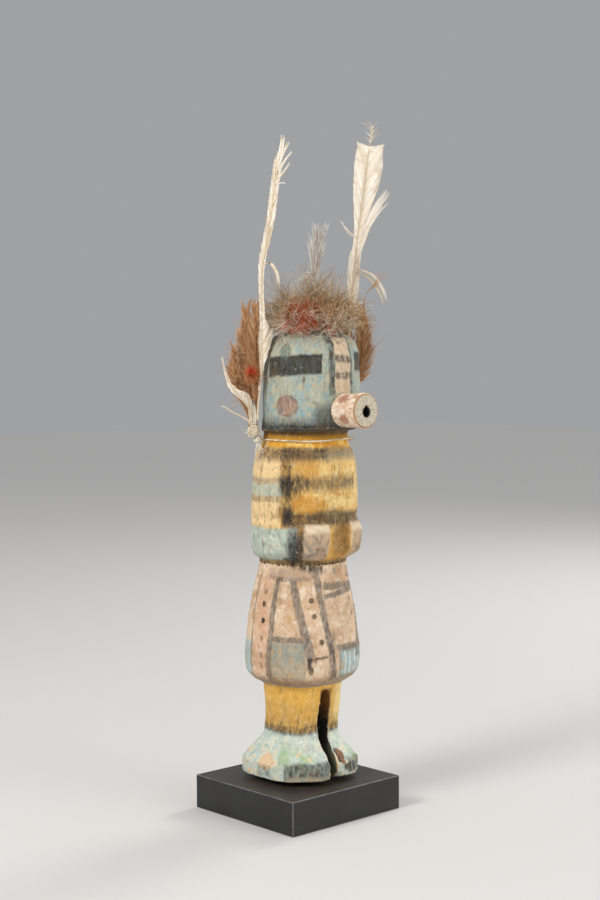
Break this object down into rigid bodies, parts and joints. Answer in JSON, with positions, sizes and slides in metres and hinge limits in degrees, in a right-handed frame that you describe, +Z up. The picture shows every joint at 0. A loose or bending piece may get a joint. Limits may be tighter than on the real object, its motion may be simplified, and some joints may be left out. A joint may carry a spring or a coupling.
{
  "type": "kachina doll",
  "caption": "Carved and painted cottonwood doll with a tube snout, feathers tied at the ears and a down crest, standing on a small black block.",
  "frame": {"origin": "centre of the block's underside", "axes": "+Z up; the doll faces -Y, so its right hand is on the -X side"},
  "size_m": [0.0984, 0.092, 0.3795],
  "materials": {
    "black_block": "satin black paint",
    "painted_wood": "worn matt mineral paint: turquoise, ochre, cream and black",
    "snout_wood": "worn matt cream paint with red-brown marks",
    "cotton_string": "twisted cotton",
    "white_feather": "feather vane, silky",
    "grey_feather": "soft feather",
    "brown_down": "fluffy down",
    "crest_down": "fluffy down"
  },
  "bodies": {
    "root": {"plinth": "black_block", "figure": "painted_wood", "snout": "snout_wood", "neck_string": "cotton_string", "tie_right": "cotton_string", "tie_left": "cotton_string", "tall_plume_right": "white_feather", "tall_plume_left": "white_feather", "down_feather_right_inner": "brown_down", "down_feather_right_back": "brown_down", "down_feather_right_outer": "brown_down", "down_feather_left_outer": "brown_down", "down_feather_left_back": "brown_down", "white_curl_feather_right": "white_feather", "bare_quill_right": "white_feather", "crest_tuft": "crest_down", "crest_feather": "grey_feather"}
  },
  "joints": []
}
